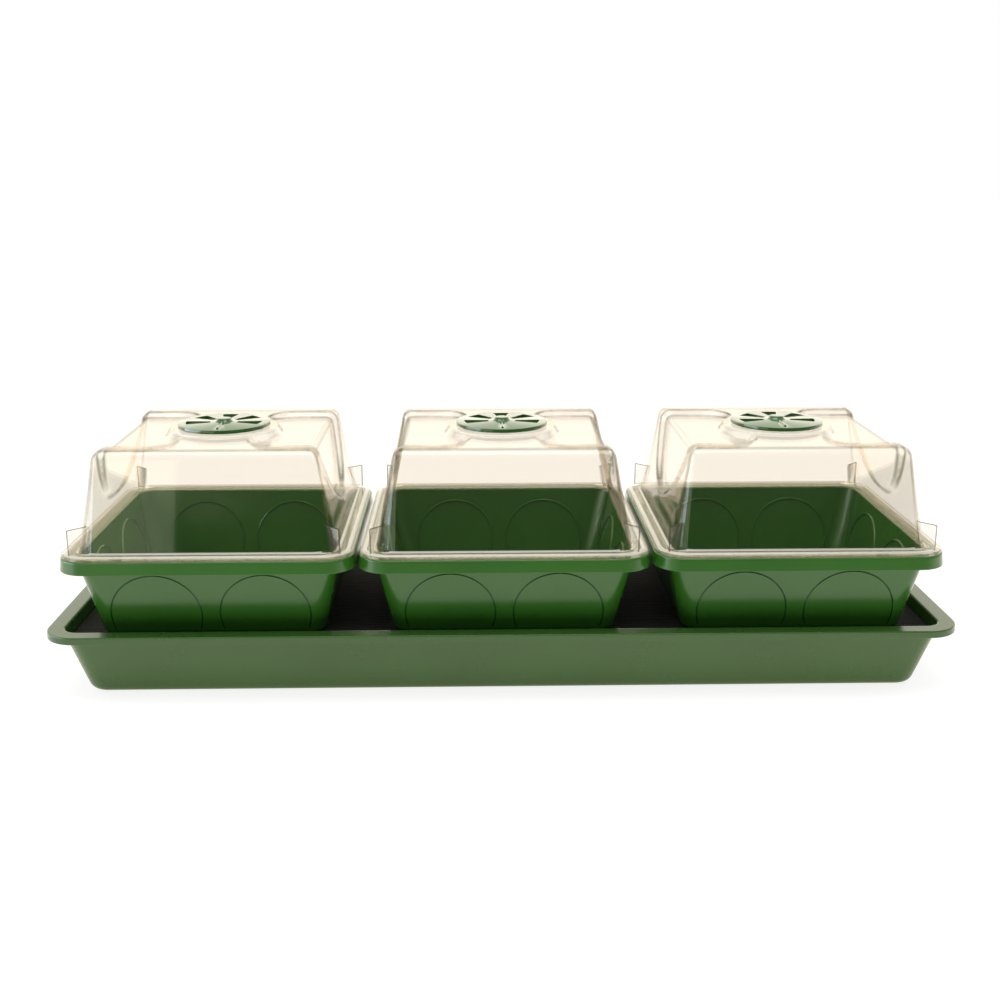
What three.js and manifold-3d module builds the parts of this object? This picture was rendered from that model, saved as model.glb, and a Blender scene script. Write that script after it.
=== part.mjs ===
// Windowsill propagator: a long water tray with a raised mat, and three seed trays with vented clear domes.
// Millimetres, +Z up, +X along the long side, front towards -Y, origin under the middle of the water tray.
import * as THREE from "three";
import { mergeVertices } from "three/addons/utils/BufferGeometryUtils.js";
import Module from "manifold-3d";

const wasm = await Module();
wasm.setup();

// ---- driving dimensions ----
const GAP = 0.3; // clearance between pieces that rest on or beside each other
const CORNER_STEPS = 5; // facets in each rounded corner
const OVERCUT = 1; // how far a cutting shape passes the face it cuts
const PITCH = 243.5; // spacing of the seed trays along X
const STATIONS = { left: -PITCH, middle: 0, right: PITCH };

const BASE = {
  halfX: 380, // outer edge of the rim
  halfY: 125,
  radius: 28,
  height: 59,
  rimWidth: 12.7,
  lipDepth: 6,
  edge: 1.2, // bevel along the rim's outer edge
  wall: 2,
  draft: 15, // how far the wall leans in between rim and foot
  footEdge: 6, // rounding between the wall and the underside
  footSpread: 2, // how much larger the corner radius is at the foot than at the mouth
};
const PLATFORM = {
  top: 47,
  plate: 2,
  cornerRadius: 16,
  footTop: 17,
  footBottom: 12,
  footWall: 2,
  rows: [-66, 66],
  columns: [-308, -185, -62, 62, 185, 308],
  footSides: 8,
  slotWidth: 9, // openings where the mat's flaps pass down
  slotLength: 128,
};
const MAT = { thickness: 3, flapX: 252, flapLength: 38, flapWidth: 120 };
const TRAY = {
  halfX: 120.75, // lower edge of the skirt
  halfY: 123,
  radius: 25,
  height: 71.5,
  rimWidth: 12.75,
  skirt: 10.7,
  flare: 1.2,
  edge: 1.2,
  wall: 1.6,
  draft: 14.5,
  footEdge: 4,
  footSpread: 2,
  holeRadius: 4,
  holePitch: 60,
  holeSides: 8,
};
const ARCH = { radius: 37.5, offset: 45, topBelowSkirt: 4.6, relief: 0.5, depth: 6, sides: 18 };
const DOME = {
  inset: 1.75, // flange edge inside the seed tray's rim edge
  flangeWidth: 12.5,
  flange: 2.4,
  flangeEdge: 0.8,
  height: 85, // flange underside to the top strips
  lean: THREE.MathUtils.degToRad(11),
  cornerRadius: 20,
  edgeRadius: 10, // rounding between the walls and the top
  edgeSteps: 3,
  wall: 1.2,
};
const RECESS = { depth: 5, halfWidth: 74, sideBottom: 24, sidePower: 2.3, neck: 27.5, steps: 10 };
const BOSS = { radius: 47, taper: 1, rise: 1.8, plate: 2, rimWidth: 4, depth: 12, sides: 24 };
const FIN = { length: 12.5, height: 21.5, thickness: 1.6, rootOverlap: 2, footOverlap: 0.5 };
const VENT = {
  radius: 40,
  sides: 32,
  thickness: 3.2,
  openingInner: 12,
  openingOuter: 33,
  openingAngle: THREE.MathUtils.degToRad(25),
  openingStep: THREE.MathUtils.degToRad(50),
  openingStart: THREE.MathUtils.degToRad(-10),
  openings: 5,
  hubRadius: 8,
  hubTip: 4.5,
  hubRise: 3.3,
  stem: 4.6,
  collar: 6.4,
  collarHeight: 2,
  bevel: 0.6,
  ribWidth: 2.8,
  ribRise: 1.4,
  ribRoot: 0.4,
};

const MAT_TOP = PLATFORM.top + GAP + MAT.thickness;
const TRAY_FOOT = MAT_TOP + GAP;
const TRAY_RIM = TRAY_FOOT + TRAY.height;
const DOME_FOOT = TRAY_RIM + GAP;
const DOME_TOP = DOME_FOOT + DOME.height;
const BOSS_TOP = DOME_TOP + BOSS.rise;

// ---- solids ----
function toSolid(geometry) {
  const bare = geometry.index ? geometry.toNonIndexed() : geometry.clone();
  bare.deleteAttribute("normal");
  bare.deleteAttribute("uv");
  const merged = mergeVertices(bare, 1e-4);
  return new wasm.Manifold(
    new wasm.Mesh({
      numProp: 3,
      vertProperties: merged.attributes.position.array,
      triVerts: new Uint32Array(merged.index.array),
    }),
  );
}

function toGeometry(solid) {
  const mesh = solid.getMesh();
  const positions = new Float32Array(mesh.numVert * 3);
  for (let i = 0; i < mesh.numVert; i++) {
    for (let k = 0; k < 3; k++) positions[3 * i + k] = mesh.vertProperties[mesh.numProp * i + k];
  }
  const geometry = new THREE.BufferGeometry();
  geometry.setAttribute("position", new THREE.BufferAttribute(positions, 3));
  geometry.setIndex(new THREE.BufferAttribute(new Uint32Array(mesh.triVerts), 1));
  return geometry;
}

const joinAll = (first, others) => others.reduce((whole, piece) => whole.add(piece), first);
const cutAll = (first, tools) => tools.reduce((whole, tool) => whole.subtract(tool), first);

// One ring of a loft: a rounded rectangle at height z, counter-clockwise from above.
function ringPoints({ halfX, halfY, radius, z }) {
  const points = [];
  for (let corner = 0; corner < 4; corner++) {
    const signX = corner === 0 || corner === 3 ? 1 : -1;
    const signY = corner < 2 ? 1 : -1;
    for (let i = 0; i <= CORNER_STEPS; i++) {
      const angle = ((corner + i / CORNER_STEPS) * Math.PI) / 2;
      points.push(
        new THREE.Vector3(
          signX * (halfX - radius) + radius * Math.cos(angle),
          signY * (halfY - radius) + radius * Math.sin(angle),
          z,
        ),
      );
    }
  }
  return points;
}

// A closed body through a series of rings: caps on the first and the last, walls between.
function loft(rings) {
  const loops = rings.map(ringPoints);
  const count = loops[0].length;
  const vertices = loops.flat();
  const bottomCentre = vertices.push(new THREE.Vector3(0, 0, rings[0].z)) - 1;
  const topCentre = vertices.push(new THREE.Vector3(0, 0, rings[rings.length - 1].z)) - 1;
  const index = [];
  for (let i = 0; i < count; i++) {
    const next = (i + 1) % count;
    index.push(bottomCentre, next, i);
    for (let r = 0; r + 1 < loops.length; r++) {
      const low = r * count;
      const high = low + count;
      index.push(low + i, low + next, high + next, low + i, high + next, high + i);
    }
    const last = (loops.length - 1) * count;
    index.push(topCentre, last + i, last + next);
  }
  const geometry = new THREE.BufferGeometry().setFromPoints(vertices);
  geometry.setIndex(index);
  return geometry;
}

// A copy of an outline moved in by a distance and placed at a height.
const inset = (outline, distance, z) => ({
  halfX: outline.halfX - distance,
  halfY: outline.halfY - distance,
  radius: Math.max(outline.radius - distance, 1),
  z,
});

// An open tray: drafted walls, a flat rim and a skirt or lip turned down at its edge.
function trayShell(size, z0) {
  const { rimWidth, lip, flare, edge, wall, draft, footEdge } = size;
  const rim = { halfX: size.halfX, halfY: size.halfY, radius: size.radius };
  const mouth = inset(rim, rimWidth, 0);
  const foot = { ...inset(mouth, draft, 0), radius: mouth.radius + size.footSpread };
  const top = z0 + size.height;
  const bevel = footEdge * (1 - Math.SQRT1_2);
  return toSolid(
    loft([
      inset(foot, footEdge, z0),
      inset(foot, bevel, z0 + bevel),
      inset(foot, 0, z0 + footEdge),
      inset(mouth, 0, top - wall),
      inset(rim, flare + wall, top - wall),
      inset(rim, wall, top - lip),
      inset(rim, 0, top - lip),
      inset(rim, flare, top - edge),
      inset(rim, flare + edge, top),
      inset(mouth, wall - edge / 2, top),
      inset(mouth, wall, top - edge),
      inset(foot, wall, z0 + footEdge),
      inset(foot, wall + bevel, z0 + wall + bevel / 2),
      inset(foot, wall + footEdge, z0 + wall),
    ]),
  );
}

function cylinderAt(radius, height, sides, x, y, z, topRadius = radius) {
  const geometry = new THREE.CylinderGeometry(topRadius, radius, height, sides);
  return toSolid(geometry.rotateX(Math.PI / 2).translate(x, y, z + height / 2));
}

function boxAt(sizeX, sizeY, sizeZ, x, y, z) {
  return toSolid(new THREE.BoxGeometry(sizeX, sizeY, sizeZ).translate(x, y, z + sizeZ / 2));
}

// ---- water tray ----
function waterTray() {
  return trayShell({ ...BASE, lip: BASE.lipDepth, flare: 0.3 }, 0);
}

// The tapered opening of the water tray at a height, as the outline of a plate that fits inside it.
function openingOutline(z) {
  const distance = BASE.rimWidth + BASE.wall + (BASE.draft * (BASE.height - z)) / BASE.height + 2 * GAP;
  return { ...inset(BASE, distance, 0), radius: PLATFORM.cornerRadius };
}

// ---- platform: a deck on hollow feet, slotted where the mat's flaps go down to the water ----
function platform() {
  const { top, plate, footTop, footBottom, footWall, footSides, rows, columns } = PLATFORM;
  const outline = openingOutline(top - plate);
  const deck = toSolid(loft([{ ...outline, z: top - plate }, { ...outline, z: top }]));
  const low = BASE.wall + GAP;
  const floor = low + footWall;
  const feet = [];
  const hollows = [];
  for (const x of columns) {
    for (const y of rows) {
      feet.push(cylinderAt(footBottom, top - plate / 2 - low, footSides, x, y, low, footTop));
      hollows.push(
        cylinderAt(footBottom - footWall, top - floor + OVERCUT, footSides, x, y, floor, footTop - footWall),
      );
    }
  }
  const slots = [-1, 1].map((side) =>
    boxAt(PLATFORM.slotWidth, PLATFORM.slotLength, 4 * plate, side * MAT.flapX, 0, top - 2 * plate),
  );
  return cutAll(joinAll(deck, feet), [...hollows, ...slots]);
}

// ---- capillary mat: one sheet with a flap cut near each end and folded down through the deck ----
function capillaryMat() {
  const bottom = PLATFORM.top + GAP;
  const outline = openingOutline(bottom);
  const sheet = toSolid(loft([{ ...outline, z: bottom }, { ...outline, z: bottom + MAT.thickness }]));
  const { thickness, flapX, flapLength, flapWidth } = MAT;
  const windowX = flapX - (thickness + flapLength) / 2;
  const windows = [-1, 1].map((side) =>
    boxAt(flapLength, flapWidth, 3 * thickness, side * windowX, 0, bottom - thickness),
  );
  const flaps = [-1, 1].map((side) =>
    boxAt(thickness, flapWidth, flapLength + thickness / 2, side * flapX, 0, bottom - flapLength),
  );
  return joinAll(cutAll(sheet, windows), flaps);
}

// ---- seed tray ----
const trayMouth = inset(TRAY, TRAY.rimWidth, 0);
const trayWallTop = TRAY_RIM - TRAY.wall;
const traySlope = TRAY.draft / (trayWallTop - TRAY_FOOT - TRAY.footEdge);

// A shallow round panel let into one wall, where a knock-out arch is marked. It runs off the foot.
function archTool(side, alongX, offset) {
  const centreZ = TRAY_RIM - TRAY.skirt - ARCH.topBelowSkirt - ARCH.radius;
  const wallAt = (alongX ? trayMouth.halfX : trayMouth.halfY) - traySlope * (trayWallTop - centreZ);
  const disc = new THREE.CylinderGeometry(ARCH.radius, ARCH.radius, ARCH.depth, ARCH.sides);
  disc.translate(0, ARCH.depth / 2 - ARCH.relief, 0);
  disc.rotateX(-Math.atan(traySlope));
  disc.translate(offset, wallAt, 0);
  if (alongX) disc.rotateZ(-Math.PI / 2);
  if (side < 0) disc.rotateZ(Math.PI);
  disc.translate(0, 0, centreZ);
  return toSolid(disc);
}

function seedTray() {
  const shell = trayShell({ ...TRAY, lip: TRAY.skirt }, TRAY_FOOT);
  const reach = -TRAY.radius;
  const skirtRoom = toSolid(
    loft([inset(TRAY, reach, TRAY_FOOT + reach), inset(TRAY, reach, TRAY_RIM - TRAY.skirt)]),
  );
  const arches = [];
  for (const side of [-1, 1]) {
    for (const alongX of [true, false]) {
      for (const offset of [-ARCH.offset, ARCH.offset]) {
        arches.push(archTool(side, alongX, offset).intersect(skirtRoom));
      }
    }
  }
  const holes = [];
  for (const i of [-1, 0, 1]) {
    for (const j of [-1, 0, 1]) {
      const x = i * TRAY.holePitch;
      const y = j * TRAY.holePitch;
      holes.push(cylinderAt(TRAY.holeRadius, 3 * TRAY.wall, TRAY.holeSides, x, y, TRAY_FOOT - TRAY.wall));
    }
  }
  return cutAll(shell, [...arches, ...holes]);
}

// ---- dome ----
const flangeOutline = inset(TRAY, DOME.inset, 0);
const domeFoot = { ...inset(flangeOutline, DOME.flangeWidth, 0), radius: DOME.cornerRadius };

// The dome's body moved in by a distance: leaning walls, a rounded upper edge and a flat top.
function domeBody(distance, zBottom) {
  const lean = Math.tan(DOME.lean);
  const skin = distance / Math.cos(DOME.lean);
  const top = DOME_TOP - distance;
  const radius = DOME.edgeRadius - distance;
  const tangent = radius * Math.tan((Math.PI / 2 - DOME.lean) / 2);
  const insetAt = (z) => skin + lean * (z - DOME_FOOT - DOME.flange);
  const cornerInset = insetAt(top) + tangent;
  const rings = [];
  rings.push(inset(domeFoot, insetAt(zBottom), zBottom));
  for (let i = 0; i <= DOME.edgeSteps; i++) {
    const angle = DOME.lean + ((Math.PI / 2 - DOME.lean) * i) / DOME.edgeSteps;
    const z = top - radius + radius * Math.sin(angle);
    rings.push(inset(domeFoot, cornerInset - radius * Math.cos(angle), z));
  }
  return toSolid(loft(rings));
}

// The hollow in the top that runs out over each end wall as a rounded U, moved in by a distance.
function recessTool(distance, inner) {
  const half = RECESS.halfWidth + distance;
  const bottom = DOME_FOOT + RECESS.sideBottom - distance;
  const rise = DOME_TOP - DOME.edgeRadius - bottom;
  const ceiling = DOME_TOP + BOSS.depth;
  const outline = new THREE.Shape();
  outline.moveTo(-half, ceiling);
  for (let i = 0; i <= RECESS.steps; i++) {
    const y = -half + (2 * half * i) / RECESS.steps;
    outline.lineTo(y, bottom + rise * Math.abs(y / half) ** RECESS.sidePower);
  }
  outline.lineTo(half, ceiling);
  const reach = TRAY.halfX;
  const prism = new THREE.ExtrudeGeometry(outline, { depth: 2 * reach, bevelEnabled: false });
  prism.applyMatrix4(
    new THREE.Matrix4().makeBasis(
      new THREE.Vector3(0, 1, 0),
      new THREE.Vector3(0, 0, 1),
      new THREE.Vector3(1, 0, 0),
    ),
  );
  prism.translate(-reach, 0, 0);
  const middle = DOME_FOOT + DOME.height / 2;
  const neck = boxAt(2 * (RECESS.neck - distance), 4 * half, DOME.height, 0, 0, middle);
  const boss = cylinderAt(BOSS.radius - distance, DOME.height, BOSS.sides, 0, 0, middle);
  return cutAll(toSolid(prism), [inner, neck, boss]);
}

// A fin standing on the flange at one corner, square to the corner, with its root inside the wall.
function cornerFin(signX, signY) {
  const reach = domeFoot.radius * Math.SQRT1_2;
  const cornerX = domeFoot.halfX - domeFoot.radius + reach;
  const cornerY = domeFoot.halfY - domeFoot.radius + reach;
  const leanBack = FIN.height * Math.tan(DOME.lean);
  const outline = new THREE.Shape();
  outline.moveTo(-FIN.rootOverlap, -FIN.footOverlap);
  outline.lineTo(FIN.length, -FIN.footOverlap);
  outline.lineTo(FIN.length, FIN.height);
  outline.lineTo(-FIN.rootOverlap - leanBack, FIN.height);
  const plate = new THREE.ExtrudeGeometry(outline, { depth: FIN.thickness, bevelEnabled: false });
  plate.translate(0, 0, -FIN.thickness / 2);
  plate.rotateX(Math.PI / 2);
  plate.rotateZ(Math.atan2(signY, signX));
  plate.translate(signX * cornerX, signY * cornerY, DOME_FOOT + DOME.flange);
  return toSolid(plate);
}

// The wedge openings shared by the dome's boss and the vent disc.
function wedgeTools(z, height) {
  const { openings, openingAngle, openingStart, openingStep, openingInner, openingOuter } = VENT;
  return Array.from({ length: openings }, (unused, i) => {
    const middle = openingStart + i * openingStep;
    const from = middle - openingAngle / 2;
    const to = middle + openingAngle / 2;
    const outline = new THREE.Shape();
    outline.absarc(0, 0, openingOuter, from, to, false);
    outline.absarc(0, 0, openingInner, to, from, true);
    const options = { depth: height, bevelEnabled: false, curveSegments: 2 };
    const wedge = new THREE.ExtrudeGeometry(outline, options);
    return toSolid(wedge.translate(0, 0, z));
  });
}

function dome() {
  const foot = DOME_FOOT;
  const flangeTop = foot + DOME.flange;
  const flange = toSolid(
    loft([
      { ...flangeOutline, z: foot },
      inset(flangeOutline, 0, flangeTop - DOME.flangeEdge),
      inset(flangeOutline, DOME.flangeEdge, flangeTop),
    ]),
  );
  const outer = domeBody(0, foot).subtract(recessTool(0, domeBody(RECESS.depth, foot)));
  const bossLow = BOSS_TOP - BOSS.depth;
  const boss = cylinderAt(BOSS.radius, BOSS.depth, BOSS.sides, 0, 0, bossLow, BOSS.radius - BOSS.taper);
  const fins = [];
  for (const signX of [-1, 1]) {
    for (const signY of [-1, 1]) fins.push(cornerFin(signX, signY));
  }
  const below = foot - OVERCUT;
  const inner = domeBody(DOME.wall, below).subtract(
    recessTool(DOME.wall, domeBody(RECESS.depth + DOME.wall, below)),
  );
  const underBoss = BOSS_TOP - BOSS.plate;
  const wellRadius = BOSS.radius - BOSS.rimWidth;
  const well = cylinderAt(wellRadius, BOSS.depth, BOSS.sides, 0, 0, underBoss - BOSS.depth);
  const stemHole = cylinderAt(VENT.stem + GAP, BOSS.depth, VENT.sides, 0, 0, underBoss - OVERCUT);
  const cuts = [inner, well, stemHole, ...wedgeTools(underBoss - OVERCUT, BOSS.depth)];
  return cutAll(joinAll(flange, [outer, boss, ...fins]), cuts);
}

// ---- vent: a turning disc with a raised hub, held by a collared stem through the boss ----
function vent() {
  const low = BOSS_TOP + GAP;
  const face = low + VENT.thickness;
  const underBoss = BOSS_TOP - BOSS.plate - GAP;
  const profile = [
    [0, underBoss - VENT.collarHeight],
    [VENT.collar - 2 * VENT.bevel, underBoss - VENT.collarHeight],
    [VENT.collar, underBoss],
    [VENT.stem, underBoss],
    [VENT.stem, low],
    [VENT.radius, low],
    [VENT.radius, face - VENT.bevel],
    [VENT.radius - VENT.bevel, face],
    [VENT.hubRadius, face],
    [VENT.hubTip, face + VENT.hubRise],
    [0, face + VENT.hubRise],
  ].map(([r, z]) => new THREE.Vector2(r, z));
  const body = toSolid(new THREE.LatheGeometry(profile, VENT.sides).rotateX(Math.PI / 2));
  const ribLength = VENT.openingOuter - VENT.hubTip;
  const ribHeight = VENT.ribRise + VENT.ribRoot;
  const ribMiddle = -VENT.hubTip - ribLength / 2;
  const rib = boxAt(VENT.ribWidth, ribLength, ribHeight, 0, ribMiddle, face - VENT.ribRoot);
  return cutAll(body, wedgeTools(low - OVERCUT, VENT.thickness + 2 * OVERCUT)).add(rib);
}

// ---- materials and assembly ----
const plastic = (color, roughness) => new THREE.MeshStandardMaterial({ color, roughness, metalness: 0 });
const materials = {
  base: plastic(0x4c6a42, 0.35),
  platform: plastic(0x2a2d28, 0.6),
  mat: new THREE.MeshStandardMaterial({ color: 0x0e0f0c, roughness: 0.95, metalness: 0 }),
  tray: plastic(0x3f6634, 0.35),
  dome: new THREE.MeshStandardMaterial({
    color: 0xf4f1e8,
    roughness: 0.08,
    metalness: 0,
    transparent: true,
    opacity: 0.3,
  }),
  vent: plastic(0x2f6b34, 0.3),
};

const group = new THREE.Group();

function place(name, solid, material, x = 0) {
  const mesh = new THREE.Mesh(toGeometry(solid), material);
  mesh.name = name;
  mesh.position.x = x;
  group.add(mesh);
}

place("base_tray", waterTray(), materials.base);
place("support_platform", platform(), materials.platform);
place("capillary_mat", capillaryMat(), materials.mat);
const seedTraySolid = seedTray();
const domeSolid = dome();
const ventSolid = vent();
for (const [side, x] of Object.entries(STATIONS)) {
  place(`seed_tray_${side}`, seedTraySolid, materials.tray, x);
  place(`dome_${side}`, domeSolid, materials.dome, x);
  place(`vent_${side}`, ventSolid, materials.vent, x);
}

export default group;
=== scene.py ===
"""Windowsill propagator: a long water tray with a felt mat, and three seed trays with vented clear domes."""

import math

import bpy
import numpy as np
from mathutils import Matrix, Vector


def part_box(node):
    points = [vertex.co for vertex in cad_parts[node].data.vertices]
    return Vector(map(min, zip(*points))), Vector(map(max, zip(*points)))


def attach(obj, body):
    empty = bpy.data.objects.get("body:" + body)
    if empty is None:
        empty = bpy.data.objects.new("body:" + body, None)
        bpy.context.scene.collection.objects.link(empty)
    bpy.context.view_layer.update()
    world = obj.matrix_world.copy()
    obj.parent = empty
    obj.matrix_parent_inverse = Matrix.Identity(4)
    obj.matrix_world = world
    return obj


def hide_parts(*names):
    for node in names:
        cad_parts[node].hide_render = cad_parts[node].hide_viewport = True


MM = 0.001
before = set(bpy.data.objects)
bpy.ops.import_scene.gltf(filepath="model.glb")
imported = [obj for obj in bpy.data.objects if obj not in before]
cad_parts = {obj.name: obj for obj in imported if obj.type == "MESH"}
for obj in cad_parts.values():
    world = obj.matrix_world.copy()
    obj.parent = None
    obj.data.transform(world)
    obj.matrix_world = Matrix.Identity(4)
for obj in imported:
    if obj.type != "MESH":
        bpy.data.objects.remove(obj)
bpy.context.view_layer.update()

# ---- camera ----
FOCAL = 45.34  # millimetres on a 36 mm sensor
EYE = (-0.0264, -1.0904, 0.4342)
PITCH_DOWN = 15.11  # degrees
YAW_RIGHT = 1.31

lens = bpy.data.cameras.new("view")
lens.sensor_width = 36
lens.lens = FOCAL
lens.clip_start = 0.05
lens.clip_end = 60
camera = bpy.data.objects.new("view", lens)
camera.location = EYE
camera.rotation_euler = (math.radians(90 - PITCH_DOWN), 0, math.radians(-YAW_RIGHT))
bpy.context.scene.collection.objects.link(camera)
bpy.context.scene.camera = camera
bpy.context.scene.cycles.transparent_max_bounces = 48  # a side view looks through three domes
bpy.context.scene.view_settings.view_transform = "Standard"


# ---- measures from the frame, in millimetres ----
def extent(node):
    low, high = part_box(node)
    return np.array(low) / MM, np.array(high) / MM


SIDES = ("left", "middle", "right")
STATION = {side: float(sum(extent(f"seed_tray_{side}"))[0] / 2) for side in SIDES}
base_low, base_high = extent("base_tray")
deck_low, deck_high = extent("support_platform")
mat_low, mat_high = extent("capillary_mat")
tray_low, tray_high = extent("seed_tray_middle")
dome_low, dome_high = extent("dome_middle")
vent_low, vent_high = extent("vent_middle")

# ---- driving dimensions, in millimetres ----
GAP = 0.3  # clearance between pieces
NEAR_SHARE, FAR_SHARE = 0.46, 0.48  # largest shares of a step: to where a turn starts, and to the row before
MOUTH_WALL, MOUTH_TAPER = 0.8, 0.2  # shares of a tray's wall that are kept and lost at the mouth
LEAST_RADIUS = 1.5  # of a tray's corners
MOUTH_STEPS = 14  # facets in each rounded corner of a tray
FOOT_SPREAD = 2.0  # how much larger a tray's corner radius is at the foot than at the mouth
ROW_STEP = 7.0  # longest step between rows along a tray's section

BASE_RIM, BASE_LIP, BASE_FLARE, BASE_EDGE = 12.7, 6.0, 0.3, 1.1
BASE_WALL, BASE_DRAFT, BASE_RADIUS, BASE_FOOT_EDGE = 2.0, 15.0, 28.0, 6.0
DECK_PLATE, DECK_RADIUS, DECK_EDGE, DECK_BORDER = 2.0, 16.0, 0.6, 8.0
FOOT_TOP, FOOT_BOTTOM, FOOT_WALL = 17.0, 12.0, 2.0
FOOT_ROWS = (-66, 66)
FOOT_COLUMNS = (-308, -185, -62, 62, 185, 308)
SLOT_HALF_WIDTH, SLOT_END_GAP, SLOT_RADIUS = 4.5, 4.0, 2.5

FELT = 3.0  # thickness
FELT_CELL = 4.0  # size of its mesh cells
FLAP_X, FLAP_LENGTH, FLAP_WIDTH = 252.0, 38.0, 120.0

TRAY_RIM, TRAY_SKIRT, TRAY_FLARE, TRAY_EDGE = 12.75, 10.7, 1.2, 1.4
TRAY_WALL, TRAY_DRAFT, TRAY_RADIUS, TRAY_FOOT_EDGE = 1.6, 14.5, 25.0, 4.5
ARCH_RADIUS, ARCH_OFFSET, ARCH_BELOW, ARCH_START = 37.5, 45.0, 4.6, 5.0
ARCH_POINTS = 72  # along each arch
GROOVE_ROD, GROOVE_PROUD = 0.65, 0.1  # the rod that cuts an arch, and how far its middle stands off the wall
BEAD_RADIUS, BEAD_OFFSET, BEAD_RAISE = 36.5, 43.0, 6.0  # the same arches as fine raised lines inside
BEAD_ROD, BEAD_SUNK = 0.85, 0.25
HOLE_RADIUS, HOLE_PITCH = 4.0, 60.0

FLANGE, FLANGE_WIDTH, FLANGE_RADIUS = 2.4, 12.5, 23.25
RIDGE_AT, RIDGE_RISE = 4.0, 0.8  # the raised line along the flange, measured in from its edge
DOME_LEAN = math.radians(11)
DOME_CORNER, DOME_EDGE, DOME_WALL = 20.0, 10.0, 1.2
RECESS_DEPTH, RECESS_HALF, RECESS_LOW, RECESS_POWER, NECK = 5.0, 74.0, 24.0, 2.3, 27.5
RECESS_FILLET, RECESS_EASE, BOSS_EASE = 27.0, 6.5, 4.0  # corner radius, and how gently the floor is reached
RECESS_SPREAD = 1.3  # where the recess's curve stops rising, in half widths
FINE_FROM = 0.86  # from this share of the way to the boss, the top's rings lie closer together
BOSS_RADIUS, BOSS_RISE, BOSS_PLATE = 47.0, 1.8, 2.0
FIN_LENGTH, FIN_HEIGHT, FIN_THICK, FIN_BEVEL = 12.5, 21.5, 1.6, 0.35
FIN_ROOT, FIN_SUNK, FIN_CORNER = -0.5, -0.6, 0.8  # start behind the wall, foot in the flange, cut top corner
FIN_SHRINK = 8.0  # size against which the bevel's inner outline is drawn in

VENT_THICK, OPENING_IN, OPENING_OUT, OPENING_ANGLE = 3.2, 12.0, 33.0, 25.0
OPENINGS = (-10, 40, 90, 140, 190)  # directions of the vent openings, in degrees
HUB_RADIUS, HUB_TIP, STEM, COLLAR = 8.0, 4.5, 4.6, 6.4
RIB_HALF_WIDTH, RIB_RISE = 1.4, 1.4


# ---- mesh helpers, in millimetres ----
def rounded(keys, steps=6):
    """Rows of half width, half depth, corner radius and height, with each turn rounded over its reach."""
    rows = []
    for i, key in enumerate(keys):
        here = np.array(key[:4], float)
        reach = key[4] if len(key) > 4 else 0
        if reach <= 0 or i in (0, len(keys) - 1):
            rows.append(here)
            continue
        ends = []
        for other in (keys[i - 1], keys[i + 1]):
            step = np.array(other[:4], float) - here
            length = math.hypot(step[0], step[3])
            near, far = min(reach / length, NEAR_SHARE), min(1.2 * reach / length, FAR_SHARE)
            ends.append((here + step * near, here + step * far))
        (start, before), (stop, after) = ends
        rows.append(before)
        for t in np.linspace(0, 1, steps + 1):
            rows.append((1 - t) ** 2 * start + 2 * t * (1 - t) * here + t * t * stop)
        rows.append(after)
    return np.array(rows)


def split_long(rows, most):
    """The same rows with more between any two that are further apart than that."""
    parts = []
    for here, after in zip(rows, rows[1:]):
        count = max(1, round(math.hypot(after[0] - here[0], after[3] - here[3]) / most))
        parts += [here + (after - here) * i / count for i in range(count)]
    return np.array([*parts, rows[-1]])


def rings(rows, arc=12, side_x=1, side_y=1):
    """Rounded rectangles, counter-clockwise from above, with each straight side divided evenly."""
    rows = np.asarray(rows, float)
    half_x, half_y, radius, z = (rows[:, i : i + 1] for i in range(4))
    turn = np.radians(np.linspace(0, 90, arc + 1))
    columns = []
    for quarter, (sign_x, sign_y) in enumerate(((1, 1), (-1, 1), (-1, -1), (1, -1))):
        angle = turn + quarter * math.pi / 2
        x = sign_x * (half_x - radius) + radius * np.cos(angle)
        y = sign_y * (half_y - radius) + radius * np.sin(angle)
        across = quarter % 2 == 0
        share = 1 - 2 * np.linspace(0, 1, (side_x if across else side_y) + 1)[1:-1]
        still = np.ones_like(share)
        run_x = x[:, -1:] * (share if across else still)
        run_y = y[:, -1:] * (still if across else share)
        columns += [np.stack([x, y], -1), np.stack([run_x, run_y], -1)]
    flat = np.concatenate(columns, 1)
    return np.concatenate([flat, np.broadcast_to(z[:, :, None], (*flat.shape[:2], 1))], -1)


def circle(angle, radius, z):
    """Points of a level circle at those angles."""
    return np.column_stack([radius * np.cos(angle), radius * np.sin(angle), np.full(len(angle), z)])


def turned(profile, sides=96):
    """Rings of a turned form, from pairs of radius and height."""
    angle = np.linspace(0, 2 * math.pi, sides, endpoint=False)
    return np.array([circle(angle, radius, z) for radius, z in profile])


def tube(path, normals, radius, sides=8):
    """Rings of a thin round rod along a path."""
    path, normals = np.asarray(path, float), np.asarray(normals, float)
    along = np.gradient(path, axis=0)
    along /= np.linalg.norm(along, axis=1)[:, None]
    across = np.cross(normals, along)
    angle = np.linspace(0, 2 * math.pi, sides, endpoint=False)
    return path[:, None] + radius * (
        np.cos(angle)[None, :, None] * normals[:, None] + np.sin(angle)[None, :, None] * across[:, None]
    )


def shell(grid, wrap=False):
    """Vertices and faces through a grid of rings, with capped ends unless the last ring meets the first."""
    count, around = grid.shape[:2]
    index = np.arange(count * around).reshape(count, around)
    low = index if wrap else index[:-1]
    high = np.roll(index, -1, 0) if wrap else index[1:]
    quads = np.stack([low, np.roll(low, -1, 1), np.roll(high, -1, 1), high], -1).reshape(-1, 4).tolist()
    caps = [] if wrap else [index[0, ::-1].tolist(), index[-1].tolist()]
    return grid.reshape(-1, 3), quads + caps


def prism(outline, low, high):
    """A straight solid over a counter-clockwise outline."""
    outline = np.asarray(outline, float)
    return shell(np.array([np.column_stack([outline, np.full(len(outline), z)]) for z in (low, high)]))


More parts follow.
